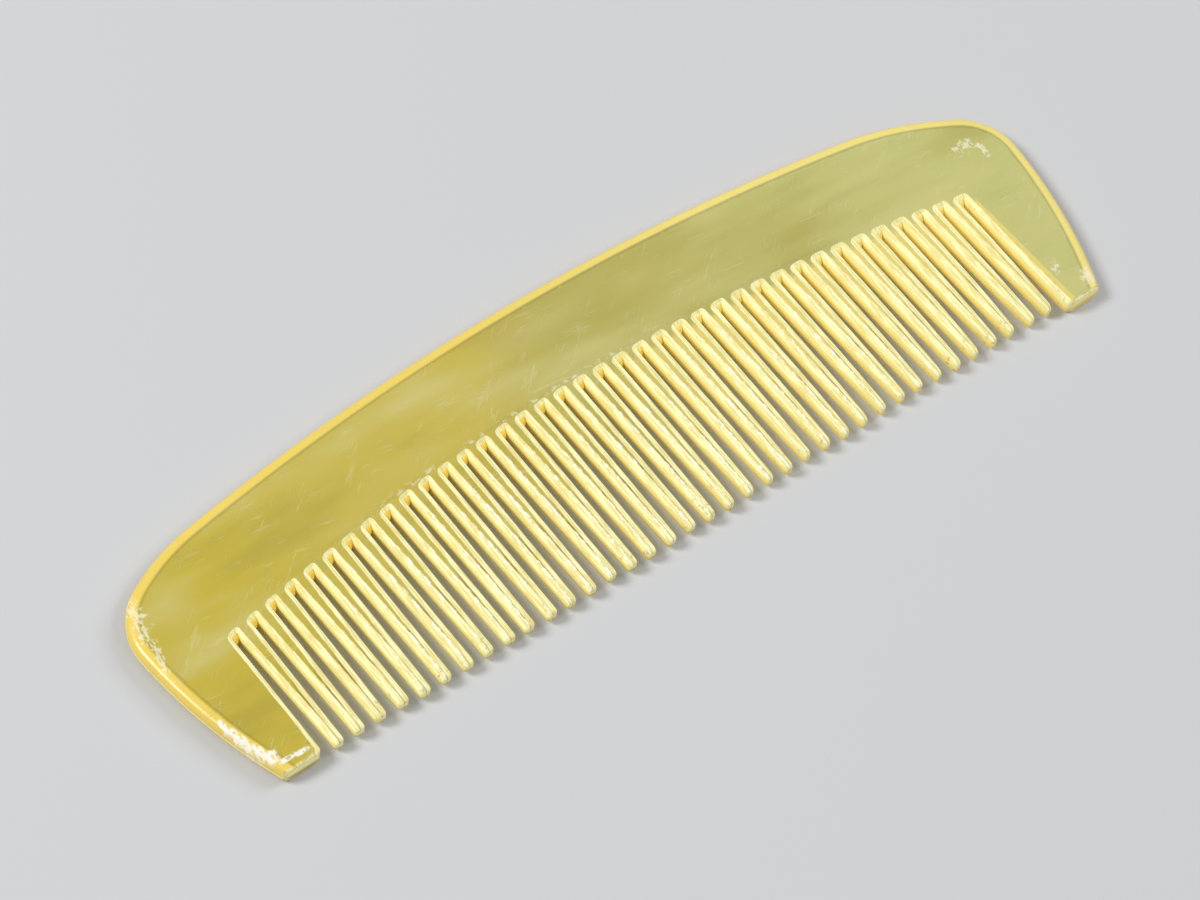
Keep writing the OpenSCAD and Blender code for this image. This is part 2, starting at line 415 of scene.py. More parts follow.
def add_tooth(skin, i, rng):
    """One tooth from its tip to the row of slot ends. Its half width is half the pitch less the half slot,
    and the strip between its bevels narrows evenly to nothing at the ridge. The face falls by the thinning,
    and the bevels fall from the strip to the walls. Teeth on the right taper more towards their tips."""
    lean, longer, wider, ridge = rng.uniform(-1, 1, 4)
    chance = rng.uniform()
    middle = slot_x(i) + HALF_PITCH
    end = tip_line(middle) - LENGTH_SPREAD * longer
    root = root_line(middle) - SLOT_ROOT_HALF
    row = rows_to_root(end, np.array([root]))[:, 0]
    distance = row - end
    share = np.clip((root - row) / (root - end), 0, 1)
    # The last row meets the slot ends with no rounding error
    share[-1] = 0
    slot_half = SLOT_ROOT_HALF + (SLOT_TIP_HALF - SLOT_ROOT_HALF) * share
    worn = right_share(i)
    corner = LEFT_TOOTH_CORNER + (RIGHT_TOOTH_CORNER - LEFT_TOOTH_CORNER) * worn
    corner_length = LEFT_CORNER_LENGTH + (RIGHT_CORNER_LENGTH - LEFT_CORNER_LENGTH) * worn
    corner = 1 - corner * (1 - rounding(distance, corner_length))
    past = np.clip((share - TAPER_FROM) / (1 - TAPER_FROM), 0, 1)
    taper = 1 - TIP_TAPER * worn * past ** TAPER_POWER
    half = (HALF_PITCH - slot_half + WIDTH_SPREAD * wider * share) * corner * taper
    parts = []
    for side in (-1, 1):
        bevel_root = bevel_width(-side, i + (side + 1) // 2)
        ridge_at = RIDGE_SHARE + RIDGE_SPREAD * ridge + RIDGE_SLANT * side
        uneven = FILE_WANDER * rng.uniform(-1, 1, len(share)) * np.clip(share / WANDER_FULL, 0, 1)
        strip = (HALF_PITCH - SLOT_ROOT_HALF - bevel_root) * (1 - share / ridge_at) + uneven
        strip = np.minimum(np.maximum(strip, 0) + BLUNT_STRIP, STRIP_MOST * half)
        bevel = np.where(share > 0, half - strip, bevel_root)
        steps = across(half, bevel)
        inside = bevel[:, None] - steps
        past_ridge = np.clip((share[:, None] - ridge_at + RIDGE_LEAD) / RIDGE_FADE, 0, 1)
        filed = np.maximum(over_edge(inside), past_ridge)
        parts.append((side * (half[:, None] - steps), bevel_fall(-side) * soft_over(inside), filed,
                      steps / half[:, None], inside if side < 0 else inside * 0 + MARKS["ridge"]))
    offset, drop, filed, inwards, ridge = (np.concatenate([left, right[:, -2::-1]], axis=1)
                                           for left, right in zip(*parts))
    x = middle + offset
    y = rows_to_root(end, root_line(x[-1]) - SLOT_ROOT_HALF)
    nose = NOSE_HEIGHT + (1 - NOSE_HEIGHT) * rounding(distance, NOSE_LENGTH)
    height = (MID - step_depth(x) - THINNING * share[:, None] - drop) * nose[:, None]
    x = x + (common_lean(middle) * share + LEAN_SPREAD * lean * share * share)[:, None]
    skin.add_faces(x, y, height, filed=filed, along=share[:, None], inwards=inwards, chance=chance,
                   ridge=ridge)
    for edge in (0, -1):
        skin.add_wall(x[:, edge], y[:, edge], height[:, edge], filed=1 + 0 * share, along=share,
                      chance=chance + 0 * share)
    skin.add_wall(x[0], y[0], height[0], filed=filed[0], along=1 + 0 * x[0], inwards=inwards[0],
                  chance=chance + 0 * x[0])


def add_guard(skin, side, foot):
    """One end guard. A narrow strip beside the last slot carries its bevel, a block of straight rows
    reaches from there to the rim, and the foot is closed by a wall."""
    edge = abs(slot_x(0 if side < 0 else SLOT_COUNT - 1))
    root = root_line(edge) - SLOT_ROOT_HALF
    row = rows_to_root(foot, np.array([root]))[:, 0]
    distance = row - foot
    share = np.clip((root - row) / (root - foot), 0, 1)
    slot_half = SLOT_ROOT_HALF + (SLOT_TIP_HALF - SLOT_ROOT_HALF) * share
    slot_half = slot_half + FOOT_INNER_CORNER * (1 - rounding(distance, FOOT_INNER_CORNER))
    reach = HALF_PITCH + GUARD_STRIP * share
    bevel_root = bevel_width(side, 0 if side < 0 else SLOT_COUNT - 1)
    bevel = bevel_root + (GUARD_BEVEL - bevel_root) * np.sin(math.pi / 2 * share)
    bevel = bevel + (GUARD_BEVEL_FOOT - GUARD_BEVEL) * share ** GUARD_BEVEL_POWER
    bevel = np.minimum(bevel, GUARD_BEVEL_MOST * (reach - slot_half))
    steps = across(reach - slot_half, bevel)
    x = edge + slot_half[:, None] + steps + (side * common_lean(side * edge) * share)[:, None]
    y = rows_to_root(foot, root_line(x[-1]) - SLOT_ROOT_HALF)
    inside = bevel[:, None] - steps
    height = MID * foot_height(distance)[:, None] - bevel_fall(side) * soft_over(inside)
    filed = over_edge(inside)
    filed = np.maximum(filed, foot_filed(distance)[:, None])
    skin.add_faces(side * x, y, height, filed=filed, along=share[:, None])
    skin.add_wall(side * x[:, 0], y[:, 0], height[:, 0], filed=1 + 0 * share, along=share)

    rise = np.linspace(0, 1, ARCH_SIDE_STEPS + 1)[1:]
    inner_x = np.concatenate([x[:, -1], edge + HALF_PITCH + 0 * rise])
    inner_y = np.concatenate([y[:, -1], y[-1, -1] + rise * (SLOT_ROOT_HALF + STEP_LEAD)])
    outer_x, outer_y = guard_rim(side, foot, np.array([RIM_STRIP]))
    block_x = inner_x[:, None] + PLATE_STOPS * (outer_x - inner_x[:, None])
    block_y = inner_y[:, None] + PLATE_STOPS * (outer_y - inner_y[:, None])
    level = MID * foot_height(block_y - foot)
    skin.add_faces(side * block_x, block_y, level, filed=foot_filed(block_y - foot))

    inset, profile = rim_profile()
    foot_x, foot_y = guard_rim(side, foot, inset)
    low = foot_height(foot_y[0] - foot)
    cap_x = np.concatenate([x[0], block_x[0, 1:], foot_x[0, 1:]])
    cap_height = np.concatenate([height[0], level[0, 1:], (profile * low)[1:]])
    skin.add_wall(side * cap_x, foot + 0 * cap_x, cap_height, filed=1 + 0 * cap_x)


def add_plate(skin):
    """Plate above the scribed step. Its rows blend from the step line to the back, drawn in by the rim."""
    x = ROW_SHIFT + np.linspace(-TEETH_HALF, TEETH_HALF, SLOT_COUNT * ARCH_TOP_STEPS + 1)
    y = root_line(x) + STEP_LEAD
    back_x, back_y = back_rim(np.array([RIM_STRIP]))
    share = PLATE_STOPS[:, None]
    plate_x = x + share * (back_x[:, 0] - x)
    plate_y = y + share * (back_y[:, 0] - y)
    height = MID - step_depth(plate_x) * (share == 0)
    skin.add_faces(plate_x, plate_y, height, scribe=1.0 * (share <= PLATE_STOPS[1]))


def back_rim(inset):
    """Rows of the rim along the back, from the middle of the left shoulder to that of the right one."""
    left, right = HALVES[-1], HALVES[1]
    left_run = left.length - left.corner
    columns = SLOT_COUNT * ARCH_TOP_STEPS
    passed = np.linspace(0, left_run + right.length - right.corner, columns + 1)[:, None]
    left_x, left_y = left.at(np.minimum(left.corner + passed, left.length), inset)
    right_x, right_y = right.at(np.minimum(right.length - passed + left_run, right.length), inset)
    return np.where(passed < left_run, -left_x, right_x), np.where(passed < left_run, left_y, right_y)


def add_rim(skin):
    """Rim as one profile carried along the whole outline, lower beside the feet."""
    inset, height = rim_profile()
    left_x, left_y = guard_rim(-1, LEFT_FOOT_SHORT, inset)
    back_x, back_y = back_rim(inset)
    right_x, right_y = guard_rim(1, -RIGHT_FOOT_LONG, inset)
    x = np.concatenate([-left_x, back_x[1:-1], right_x[::-1]])
    y = np.concatenate([left_y, back_y[1:-1], right_y[::-1]])
    distance = np.concatenate([left_y - LEFT_FOOT_SHORT, back_y[1:-1], (right_y + RIGHT_FOOT_LONG)[::-1]])
    level = height * foot_height(distance)
    skin.add_faces(x, y, level, rim=inset + 0 * x, filed=foot_filed(distance))
    skin.add_wall(x[:, -1], y[:, -1], level[:, -1], rim=0 * x[:, -1])


def build_comb():
    """Whole comb as one closed skin."""
    rng = np.random.default_rng(SHAPE_SEED)
    skin = Surfaces()
    add_arches(skin)
    for i in range(TOOTH_COUNT):
        add_tooth(skin, i, rng)
    add_guard(skin, -1, LEFT_FOOT_SHORT)
    add_guard(skin, 1, -RIGHT_FOOT_LONG)
    add_plate(skin)
    add_rim(skin)
    comb = bpy.data.objects.new("comb_horn", skin.mesh("comb_horn", MARKS))
    bpy.context.scene.collection.objects.link(comb)
    return comb


# Colours of the horn in linear light
HONEY = (0.54, 0.425, 0.045, 1)
STRAW = (0.56, 0.45, 0.075, 1)
OLIVE = (0.455, 0.40, 0.095, 1)
GREY_GREEN = (0.54, 0.525, 0.18, 1)
PALE_CLOUD = (0.62, 0.56, 0.21, 1)
DEEP_CLOUD = (0.36, 0.285, 0.035, 1)
PALE_LINE = (0.90, 0.86, 0.58, 1)
RIM_YELLOW = (0.96, 0.78, 0.21, 1)
RIM_GOLD = (0.92, 0.68, 0.13, 1)
STRIP_YELLOW = (0.80, 0.64, 0.16, 1)
CREAM = (0.96, 0.93, 0.50, 1)
DULL_CREAM = (0.80, 0.68, 0.24, 1)
AMBER = (0.90, 0.66, 0.13, 1)
SPARKLE = (0.98, 0.96, 0.86, 1)
BROWN = (0.16, 0.085, 0.015, 1)
CHALK = (0.92, 0.88, 0.64, 1)
GREEN_STAIN = (0.36, 0.42, 0.09, 1)
DARK = (0, 0, 0, 1)
# Emission colours: a painted glow that stands in for light passing through thin horn
WALL_GLOW = (0.10, 0.07, 0.008, 1)
FILED_GLOW = (0.06, 0.055, 0.02, 1)
END_GLOW = (0.18, 0.10, 0.01, 1)

# How strongly each layer covers what is under it
PALE_STREAK_SHARE = 0.6
DEEP_STREAK_SHARE = 0.45
CLOUD_SHARE = 0.55
STAIN_SHARE = 0.5
STRIP_SHARE = 0.9
SCRATCH_SHARE = 0.14
RIM_SHARE = 0.8
CREASE_SHADE_SHARE = 0.22
BORDER_SHARE = 0.45
DIRT_SHARE = 0.6
GLINT_SHARE = 0.6
SPARKLE_SHARE = 0.85
SCUFF_SHARE = 0.62
FOOT_HIGHLIGHT_SHARE = 0.85

# What a place in metres is multiplied by to be in millimetres
TO_MM = (1000, 1000, 1000)

# How many features each noise has in a millimetre along X, Y and Z
DRIFT_GRAIN = (0.05, 0.14, 0.1)
STREAK_GRAIN = (0.05, 0.2, 0.3)
SCRATCH_GRAIN = (0.06, 1.7, 0.8)
PATCH_GRAIN = (0.3, 0.45, 0.3)
STROKE_GRAIN = (6.0, 0.35, 2.5)
SPECK_GRAIN = (1.3, 1.5, 1.3)
CHIP_GRAIN = (3.6, 1.5, 2.0)

# How many finer layers a noise has
PLAIN_DETAIL = 2.0
LINE_DETAIL = 1.0
SPECK_DETAIL = 4.0

# Levels of a noise between which each pattern appears
PALE_STREAKS = (0.48, 0.78)
DEEP_STREAKS = (0.52, 0.25)
SCRATCH_PATCHES = (0.52, 0.66)
DULL_STROKES = (0.62, 0.36)
CRACK_STROKES = (0.42, 0.52)
BORDER_SPECKS = (0.4, 0.6)
DIRT_SPECKS = (0.56, 0.72)
GLINT_SPECKS = (0.5, 0.6)
SPARKLE_CHIPS = (0.5, 0.6)
SCUFF_CHIPS = (0.36, 0.54)
FOOT_HIGHLIGHT_CHIPS = (0.28, 0.5)

# What a noise is multiplied by, and what is added, where it makes a spot ragged
SPOT_RAGGED = (2.6, -1.2)
FOOT_HIGHLIGHT_RAGGED = (0.4, 0.25)
CLOUD_RAGGED = (0.5, 0.22)

# Where along the comb, in millimetres, one look gives way to the next, and how wide the
# stretch is over which a noise shifts the four tones of the horn
HONEY_TO_STRAW = (-52, -26)
STRAW_TO_OLIVE = (-16, 2)
OLIVE_TO_GREEN = (8, 46)
STRIP_YELLOWS = (-4, 14)
RIM_PALES = (-25, 30)
END_PALES = (-10, 25)
WALL_WARMS = (-45, -5)
WALL_BROWNS = (20, -15)
GLINT_STARTS = (-34, -26)
GLINT_ENDS = (8, 2)
SPARKLE_STARTS = (-46, -34)
SPARKLE_ENDS = (44, 18)
DRIFT_REACH = 26.0

# How far in from the outline, in millimetres, the tones of the rim begin and end: a bright band
# that is partly paler polish wear and partly a painted highlight, a brown line of painted shade
# in a crease, and amber at the edge, a painted glow of light through the horn
EDGE_TONE = (0.6, 0.2)
BAND_STARTS = (0.1, 0.45)
BAND_ENDS = (1.5, 1.05)
CREASE_SHADE_STARTS = (1.2, 1.4)
CREASE_SHADE_ENDS = (1.69, 1.6)

# How high on a sawn wall, in millimetres, it turns amber, a painted glow of light through the horn,
# and then brown, painted shade low in the slots
WALL_AMBER = (2.0, 0.5)
WALL_BROWN = (1.4, 0.6)

# What a share is multiplied by, and what is added, for how much painted amber glow and painted
# brown shade a wall has and how much painted amber glow a slot end has
WALL_WARMER = (0.5, 0.4)
WALL_BROWNER = (0.5, 0.2)
END_PALER = (-0.6, 1.0)

# How far along a tooth, from its root at 0 to its tip at 1, each mark appears, and the
# least dirt that a tooth has
STRIP_FROM = (0.0, 0.06)
CRACK_FROM = (0.45, 0.6)
DIRT_FROM = (0.72, 1.0)
SPARKLE_FROM = (0.05, 0.2)
LEAST_DIRT = 0.2

# Levels of the marks filed, inwards and ridge at which a filed place has its brown
# border, a tooth its crack and the left bevel of a tooth its painted highlight along the ridge
BORDER_STARTS = (0.02, 0.4)
BORDER_ENDS = (0.9, 0.5)
CRACK_MIDDLE = (0.8, 0.95)
RIDGE_MIDDLE = 0.1
RIDGE_REACH = (0.26, 0.06)

# Turns of the two sets of scratches in radians, and how far from a half a noise is where
# a scratch begins and where it is full
SCRATCH_TURNS = (0.12, -0.7)
SCRATCH_LINE = (0.02, 0.002)

# Roughness of the polished face, and what clouds, worn places with the painted highlights and
# scratches add. Then how high the relief is, how much of it scratches, specks and worn places with
# the painted highlights make, and how much horn bends light
HORN_ROUGHNESS = 0.27
CLOUD_ROUGHNESS = 0.16
WORN_AND_HIGHLIGHT_ROUGHNESS = 0.3
SCRATCH_ROUGHNESS = 0.12
RELIEF_HEIGHT = 0.00004
SCRATCH_RELIEF = 0.35
SPECK_RELIEF = 0.12
WORN_AND_HIGHLIGHT_RELIEF = 0.8
HORN_BENDING = 1.54

# Scuffed places, a green stain between two teeth, a painted white highlight along the edge by the
# left foot, and pale clouds: the middle of each spot and its reach along X and Y, in millimetres
SCUFFS = [((-57.6, 8.2), (1.0, 3.4)), ((-58.3, 4.6), (0.8, 3.0)), ((-58.6, 1.6), (0.5, 2.2)),
          ((54.9, -15.8), (1.5, 1.6)), ((52.1, -12.9), (0.7, 1.0)), ((54.4, 5.9), (2.0, 0.9)),
          ((55.9, 4.4), (0.5, 1.4))]
STAINS = [((-37.5, 1.8), (2.0, 1.2))]
FOOT_EDGE_HIGHLIGHT = [((-57.4, -8.2), (0.4, 1.5)), ((-57.0, -9.6), (0.45, 1.6)), ((-56.6, -11.0), (0.5, 1.6)),
             ((-56.0, -12.4), (0.6, 1.5)), ((-55.3, -13.6), (0.9, 1.0)), ((-54.0, -14.6), (1.4, 0.4)),
             ((-52.4, -14.8), (1.2, 0.35))]
PALE_CLOUDS = [((-1.0, 13.2), (15.0, 3.4)), ((11.0, 12.4), (7.0, 3.0)), ((-54.2, 6.5), (5.0, 7.0))]

# All spots: the height of their middle and their reach along Z, in millimetres, and the
# share of the reach at which they cover fully
SPOT_Z = 2.4
SPOT_DEPTH = 3
CLOUD_DEPTH = 9
SPOT_FULL = 0.5
CLOUD_FULL = -0.7


class Wiring:
    """Short ways to place and join nodes. An input is a plain value or another node's output."""

    def __init__(self, tree):
        self.tree = tree

    def put(self, kind, inputs=None, output=0, **settings):
        """One node with its settings and inputs. Gives one of its outputs."""
        node = self.tree.nodes.new(kind)
        for name, value in settings.items():
            setattr(node, name, value)
        for slot, value in (inputs or {}).items():
            if isinstance(value, bpy.types.NodeSocket):
                self.tree.links.new(value, node.inputs[slot])
            else:
                node.inputs[slot].default_value = value
        return node.outputs[output]

    def math(self, operation, *values):
        """One operation on two or three values."""
        return self.put("ShaderNodeMath", dict(enumerate(values)), operation=operation)

    def times(self, *values):
        """Product of all the values."""
        product = values[0]
        for value in values[1:]:
            product = self.math("MULTIPLY", product, value)
        return product

    def most(self, *values):
        """Largest of all the values."""
        largest = values[0]
        for value in values[1:]:
            largest = self.math("MAXIMUM", largest, value)
        return largest

    def ramp(self, value, start, end):
        """0 at the start and 1 at the end, with soft ends. The start may be the larger one."""
        return self.put("ShaderNodeMapRange", {0: value, 1: start, 2: end}, interpolation_type="SMOOTHSTEP")

    def blend(self, share, first, second):
        """Colour that goes from the first to the second as the share goes from 0 to 1."""
        return self.put("ShaderNodeMix", {0: share, 6: first, 7: second}, output=2, data_type="RGBA")

    def stretch(self, place, by):
        """The place with each of its coordinates multiplied."""
        return self.put("ShaderNodeVectorMath", {0: place, 1: by}, operation="MULTIPLY")

    def noise(self, place, detail=PLAIN_DETAIL):
        """Smooth uneven value around a half, with features about one unit across."""
        return self.put("ShaderNodeTexNoise", {"Vector": place, "Scale": 1.0, "Detail": detail})

    def mark(self, name):
        """Value that the mesh carries under this name."""
        return self.put("ShaderNodeAttribute", output="Fac", attribute_name=name)

    def group(self, tree, inputs):
        """One use of a node group, with its own values. Gives its first output."""
        return self.put("ShaderNodeGroup", inputs, node_tree=tree)

    def spots(self, tree, place, listed, ragged, depth=SPOT_DEPTH, full=SPOT_FULL):
        """The most that any of the listed spots covers the place."""
        cover = 0.0
        for middle, reach in listed:
            given = {"Place": place, "Middle": (*middle, SPOT_Z), "Reach": (*reach, depth)}
            given.update({"Ragged": ragged, "Full": full})
            cover = self.most(self.group(tree, given), cover)
        return cover


def new_group(name, inputs, outputs):
    """Empty node group. Gives its wiring, its inputs and the places that its outputs are joined to."""
    tree = bpy.data.node_groups.new(name, "ShaderNodeTree")
    for title, kind in inputs.items():
        tree.interface.new_socket(title, in_out="INPUT", socket_type=kind)
    for title, kind in outputs.items():
        tree.interface.new_socket(title, in_out="OUTPUT", socket_type=kind)
    start = tree.nodes.new("NodeGroupInput")
    end = tree.nodes.new("NodeGroupOutput")
    return Wiring(tree), start.outputs, end.inputs


def horn_clouds():
    """Colour of the horn: four tones along the comb, and soft pale and deep streaks along it."""
    wiring, given, put_out = new_group("horn_clouds", {"Place": "NodeSocketVector"},
                                       {"Colour": "NodeSocketColor", "Cloud": "NodeSocketFloat"})
    place = given["Place"]
    x = wiring.put("ShaderNodeSeparateXYZ", {0: place})
    drift = wiring.noise(wiring.stretch(place, DRIFT_GRAIN))
    x = wiring.math("ADD", x, wiring.math("MULTIPLY_ADD", drift, DRIFT_REACH, -DRIFT_REACH / 2))
    colour = wiring.blend(wiring.ramp(x, *HONEY_TO_STRAW), HONEY, STRAW)
    colour = wiring.blend(wiring.ramp(x, *STRAW_TO_OLIVE), colour, OLIVE)
    colour = wiring.blend(wiring.ramp(x, *OLIVE_TO_GREEN), colour, GREY_GREEN)
    streak = wiring.noise(wiring.stretch(place, STREAK_GRAIN))
    pale = wiring.times(wiring.ramp(streak, *PALE_STREAKS), PALE_STREAK_SHARE)
    colour = wiring.blend(pale, colour, PALE_CLOUD)
    deep = wiring.times(wiring.ramp(streak, *DEEP_STREAKS), DEEP_STREAK_SHARE)
    colour = wiring.blend(deep, colour, DEEP_CLOUD)
    wiring.tree.links.new(colour, put_out["Colour"])
    wiring.tree.links.new(streak, put_out["Cloud"])
    return wiring.tree


def hairlines():
    """Fine scratches: thin level lines of a noise that is stretched along a turned direction, in patches."""
    wiring, given, put_out = new_group("hairlines", {"Place": "NodeSocketVector", "Turn": "NodeSocketFloat"},
                                       {"Mask": "NodeSocketFloat"})
    turned = wiring.put("ShaderNodeVectorRotate", {"Vector": given["Place"], "Angle": given["Turn"]},
                        rotation_type="Z_AXIS")
    lines = wiring.noise(wiring.stretch(turned, SCRATCH_GRAIN), LINE_DETAIL)
    level = wiring.math("ABSOLUTE", wiring.math("SUBTRACT", lines, 0.5))
    patch = wiring.noise(wiring.stretch(turned, PATCH_GRAIN), LINE_DETAIL)
    mask = wiring.times(wiring.ramp(level, *SCRATCH_LINE), wiring.ramp(patch, *SCRATCH_PATCHES))
    wiring.tree.links.new(mask, put_out["Mask"])
    return wiring.tree


def file_strokes():
    """Fine marks of the file along a tooth: a noise stretched along Y."""
    wiring, given, put_out = new_group("file_strokes", {"Place": "NodeSocketVector"},
                                       {"Stroke": "NodeSocketFloat"})
    stroke = wiring.noise(wiring.stretch(given["Place"], STROKE_GRAIN))
    wiring.tree.links.new(stroke, put_out["Stroke"])
    return wiring.tree


def ragged_spot():
    """One ragged spot: the distance from its middle in shares of its reach, made uneven by a noise. It
    begins at a share of 1 and is full where the share falls to the one given."""
    inputs = {name: "NodeSocketVector" for name in ("Place", "Middle", "Reach")}
    inputs["Ragged"] = "NodeSocketFloat"
    inputs["Full"] = "NodeSocketFloat"
    wiring, given, put_out = new_group("ragged_spot", inputs, {"Mask": "NodeSocketFloat"})
    away = wiring.put("ShaderNodeVectorMath", {0: given["Place"], 1: given["Middle"]}, operation="SUBTRACT")
    away = wiring.put("ShaderNodeVectorMath", {0: away, 1: given["Reach"]}, operation="DIVIDE")
    distance = wiring.put("ShaderNodeVectorMath", {0: away}, output="Value", operation="LENGTH")
    uneven = wiring.math("ADD", distance, wiring.math("MULTIPLY_ADD", given["Ragged"], *SPOT_RAGGED))
    wiring.tree.links.new(wiring.ramp(uneven, 1.0, given["Full"]), put_out["Mask"])
    return wiring.tree


def horn_material():
    """Polished horn with filed, sawn, worn and scratched places, laid over each other in that order, with
    painted highlights, painted shade low on the sawn walls and a painted glow.
    """
    material = bpy.data.materials.new("polished_horn")
    material.use_nodes = True
    wiring = Wiring(material.node_tree)
    place = wiring.stretch(wiring.put("ShaderNodeTexCoord", output="Object"), TO_MM)
    parts = wiring.put("ShaderNodeSeparateXYZ", {0: place}).node
    x, z = parts.outputs[0], parts.outputs[2]
    filed, sawn, slot_end = wiring.mark("filed"), wiring.mark("sawn"), wiring.mark("slot_end")
    along, inwards, chance = wiring.mark("along"), wiring.mark("inwards"), wiring.mark("chance")
    rim, scribe, ridge = wiring.mark("rim"), wiring.mark("scribe"), wiring.mark("ridge")

    clouds = wiring.group(horn_clouds(), {"Place": place}).node
    colour, cloud = clouds.outputs["Colour"], clouds.outputs["Cloud"]
    lines = hairlines()
    scratch = wiring.most(*(wiring.group(lines, {"Place": place, "Turn": turn}) for turn in SCRATCH_TURNS))
    stroke = wiring.group(file_strokes(), {"Place": place})
    spot = ragged_spot()
    speck = wiring.noise(wiring.stretch(place, SPECK_GRAIN), SPECK_DETAIL)
    softer = wiring.math("MULTIPLY_ADD", speck, *FOOT_HIGHLIGHT_RAGGED)
    chips = wiring.noise(wiring.stretch(place, CHIP_GRAIN))
    chalk = wiring.times(wiring.spots(spot, place, SCUFFS, speck), wiring.ramp(chips, *SCUFF_CHIPS))
    # Painted white highlight along the edge by the left foot, where a lamp's reflection lies on the rounded
    # bevel
    foot_highlight = wiring.times(wiring.spots(spot, place, FOOT_EDGE_HIGHLIGHT, softer), wiring.ramp(chips, *FOOT_HIGHLIGHT_CHIPS))
    green = wiring.spots(spot, place, STAINS, speck)
    soft = wiring.math("MULTIPLY_ADD", cloud, *CLOUD_RAGGED)
    pale = wiring.spots(spot, place, PALE_CLOUDS, soft, depth=CLOUD_DEPTH, full=CLOUD_FULL)

    # Faces and rim
    colour = wiring.blend(wiring.times(pale, CLOUD_SHARE), colour, PALE_CLOUD)
    colour = wiring.blend(wiring.times(green, STAIN_SHARE), colour, GREEN_STAIN)
    on_strip = wiring.times(wiring.ramp(along, *STRIP_FROM), wiring.ramp(x, *STRIP_YELLOWS), STRIP_SHARE)
    colour = wiring.blend(on_strip, colour, STRIP_YELLOW)
    colour = wiring.blend(wiring.times(scratch, SCRATCH_SHARE), colour, PALE_LINE)
    # Bright rim band: partly paler polish wear and partly a painted highlight on the rounded rim
    band = wiring.times(wiring.ramp(rim, *BAND_STARTS), wiring.ramp(rim, *BAND_ENDS))
    rim_colour = wiring.blend(wiring.ramp(x, *RIM_PALES), RIM_GOLD, RIM_YELLOW)
    colour = wiring.blend(wiring.times(band, RIM_SHARE), colour, rim_colour)
    # Thin brown line: painted shade along the crease where the rim's bevel meets the face
    crease_shade = wiring.times(wiring.ramp(rim, *CREASE_SHADE_STARTS), wiring.ramp(rim, *CREASE_SHADE_ENDS))
    colour = wiring.blend(wiring.times(crease_shade, CREASE_SHADE_SHARE), colour, BROWN)
    # Amber at the outer edge and rim wall: a painted glow that stands in for light passing through the horn
    edge = wiring.ramp(rim, *EDGE_TONE)
    colour = wiring.blend(wiring.times(edge, RIM_SHARE), colour, AMBER)

    # Filed bevels and sawn walls
    bevel = wiring.blend(wiring.ramp(stroke, *DULL_STROKES), CREAM, DULL_CREAM)
    colour = wiring.blend(filed, colour, bevel)
    border = wiring.times(wiring.ramp(filed, *BORDER_STARTS), wiring.ramp(filed, *BORDER_ENDS),
                          wiring.ramp(speck, *BORDER_SPECKS))
    colour = wiring.blend(wiring.times(border, BORDER_SHARE), colour, BROWN)
    # Amber low on the sawn walls and at the slot ends: a painted glow that stands in for light passing
    # through the horn
    warmer = wiring.math("MULTIPLY_ADD", wiring.ramp(x, *WALL_WARMS), *WALL_WARMER)
    deep = wiring.times(wiring.ramp(z, *WALL_AMBER), warmer)
    paler = wiring.math("MULTIPLY_ADD", wiring.ramp(x, *END_PALES), *END_PALER)
    amber_end = wiring.times(slot_end, paler)
    wall = wiring.blend(wiring.most(deep, amber_end), CREAM, AMBER)
    # Brown at the foot of the sawn walls: painted shade low in the slots
    browner = wiring.math("MULTIPLY_ADD", wiring.ramp(x, *WALL_BROWNS), *WALL_BROWNER)
    shade = wiring.times(wiring.ramp(z, *WALL_BROWN), browner)
    wall = wiring.blend(shade, wall, BROWN)
    colour = wiring.blend(sawn, colour, wall)

    # Dirt, painted highlights on the scribed step, the tooth ridges and the edge by the left foot, and
    # scuffs
    crack = wiring.times(wiring.ramp(inwards, *CRACK_MIDDLE), wiring.ramp(along, *CRACK_FROM),
                         wiring.ramp(stroke, *CRACK_STROKES))
    dirt = wiring.times(wiring.ramp(along, *DIRT_FROM), wiring.ramp(speck, *DIRT_SPECKS),
                        wiring.math("ADD", chance, LEAST_DIRT))
    colour = wiring.blend(wiring.times(wiring.most(crack, dirt), DIRT_SHARE), colour, BROWN)
    glint = wiring.times(scribe, wiring.ramp(speck, *GLINT_SPECKS), wiring.ramp(x, *GLINT_STARTS),
                         wiring.ramp(x, *GLINT_ENDS))
    colour = wiring.blend(wiring.times(glint, GLINT_SHARE), colour, PALE_LINE)
    off_ridge = wiring.math("ABSOLUTE", wiring.math("SUBTRACT", ridge, RIDGE_MIDDLE))
    # Painted highlights along the ridge of the left bevels of the teeth
    sparkle = wiring.times(wiring.ramp(off_ridge, *RIDGE_REACH), wiring.ramp(chips, *SPARKLE_CHIPS),
                           wiring.ramp(along, *SPARKLE_FROM), wiring.ramp(x, *SPARKLE_STARTS),
                           wiring.ramp(x, *SPARKLE_ENDS))
    colour = wiring.blend(wiring.times(sparkle, SPARKLE_SHARE), colour, SPARKLE)
    colour = wiring.blend(wiring.times(chalk, SCUFF_SHARE), colour, CHALK)
    # Painted white highlight by the left foot
    colour = wiring.blend(wiring.times(foot_highlight, FOOT_HIGHLIGHT_SHARE), colour, SPARKLE)

